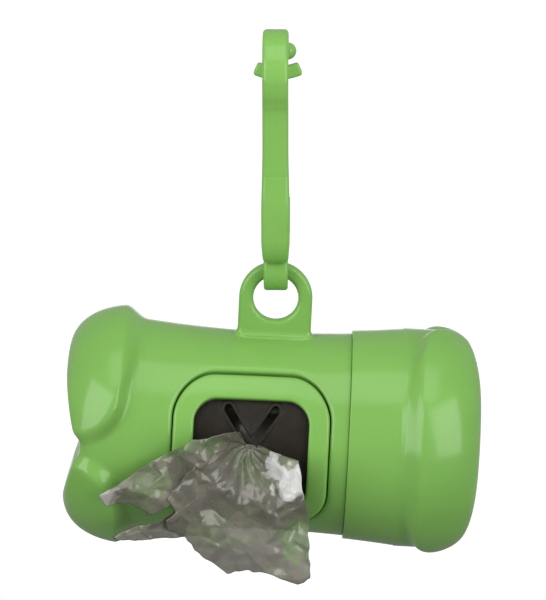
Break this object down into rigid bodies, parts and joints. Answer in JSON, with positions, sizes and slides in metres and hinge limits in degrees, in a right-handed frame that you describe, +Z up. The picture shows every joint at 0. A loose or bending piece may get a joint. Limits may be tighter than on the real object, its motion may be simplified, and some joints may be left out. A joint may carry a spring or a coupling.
{
  "type": "dog poop bag dispenser",
  "caption": "Bone-shaped case for a roll of dog waste bags, with a slotted outlet window, a pull-off end cap and an eye hanging from a moulded snap clip.",
  "frame": {"origin": "centre of the clip's bow, where it hangs on a loop or lead", "axes": "+X along the roll towards the end cap, +Y away from the outlet window, +Z up"},
  "size_m": [0.0846, 0.0519, 0.1074],
  "materials": {
    "body_green": "smooth satin-gloss moulded plastic",
    "clip_green": "smooth moulded plastic",
    "dark_plate": "matt, finely ribbed",
    "core_tube": "matt card tube",
    "bag_film": "thin crumpled translucent film"
  },
  "bodies": {
    "clip": {"clip_hook": "clip_green"},
    "gate": {"clip_gate": "clip_green"},
    "dispenser": {"shell": "body_green", "outlet_bezel": "body_green", "outlet_membrane": "dark_plate", "bag_tail": "bag_film"},
    "cap": {"end_cap": "body_green"},
    "roll": {"roll_core": "core_tube", "bag_roll": "bag_film"}
  },
  "joints": [
    {"name": "gate_flex", "type": "hinge", "parent": "clip", "child": "gate", "pos_m": [0.00129, 0.0062, -0.02637], "axis": [0.9988, 0, 0.0489], "range_deg": [0, 18], "stiffness_Nm_per_rad": 0.4},
    {"name": "hanging_swing", "type": "hinge", "parent": "clip", "child": "dispenser", "pos_m": [0.00222, 0, -0.04535], "axis": [0, 1, 0], "range_deg": [-80, 80]},
    {"name": "cap_pull", "type": "slide", "parent": "dispenser", "child": "cap", "axis": [1, 0, 0], "range_m": [0, 0.014]},
    {"name": "roll_turn", "type": "hinge", "parent": "dispenser", "child": "roll", "pos_m": [0.00272, 0, -0.07715], "axis": [1, 0, 0], "continuous": true}
  ]
}
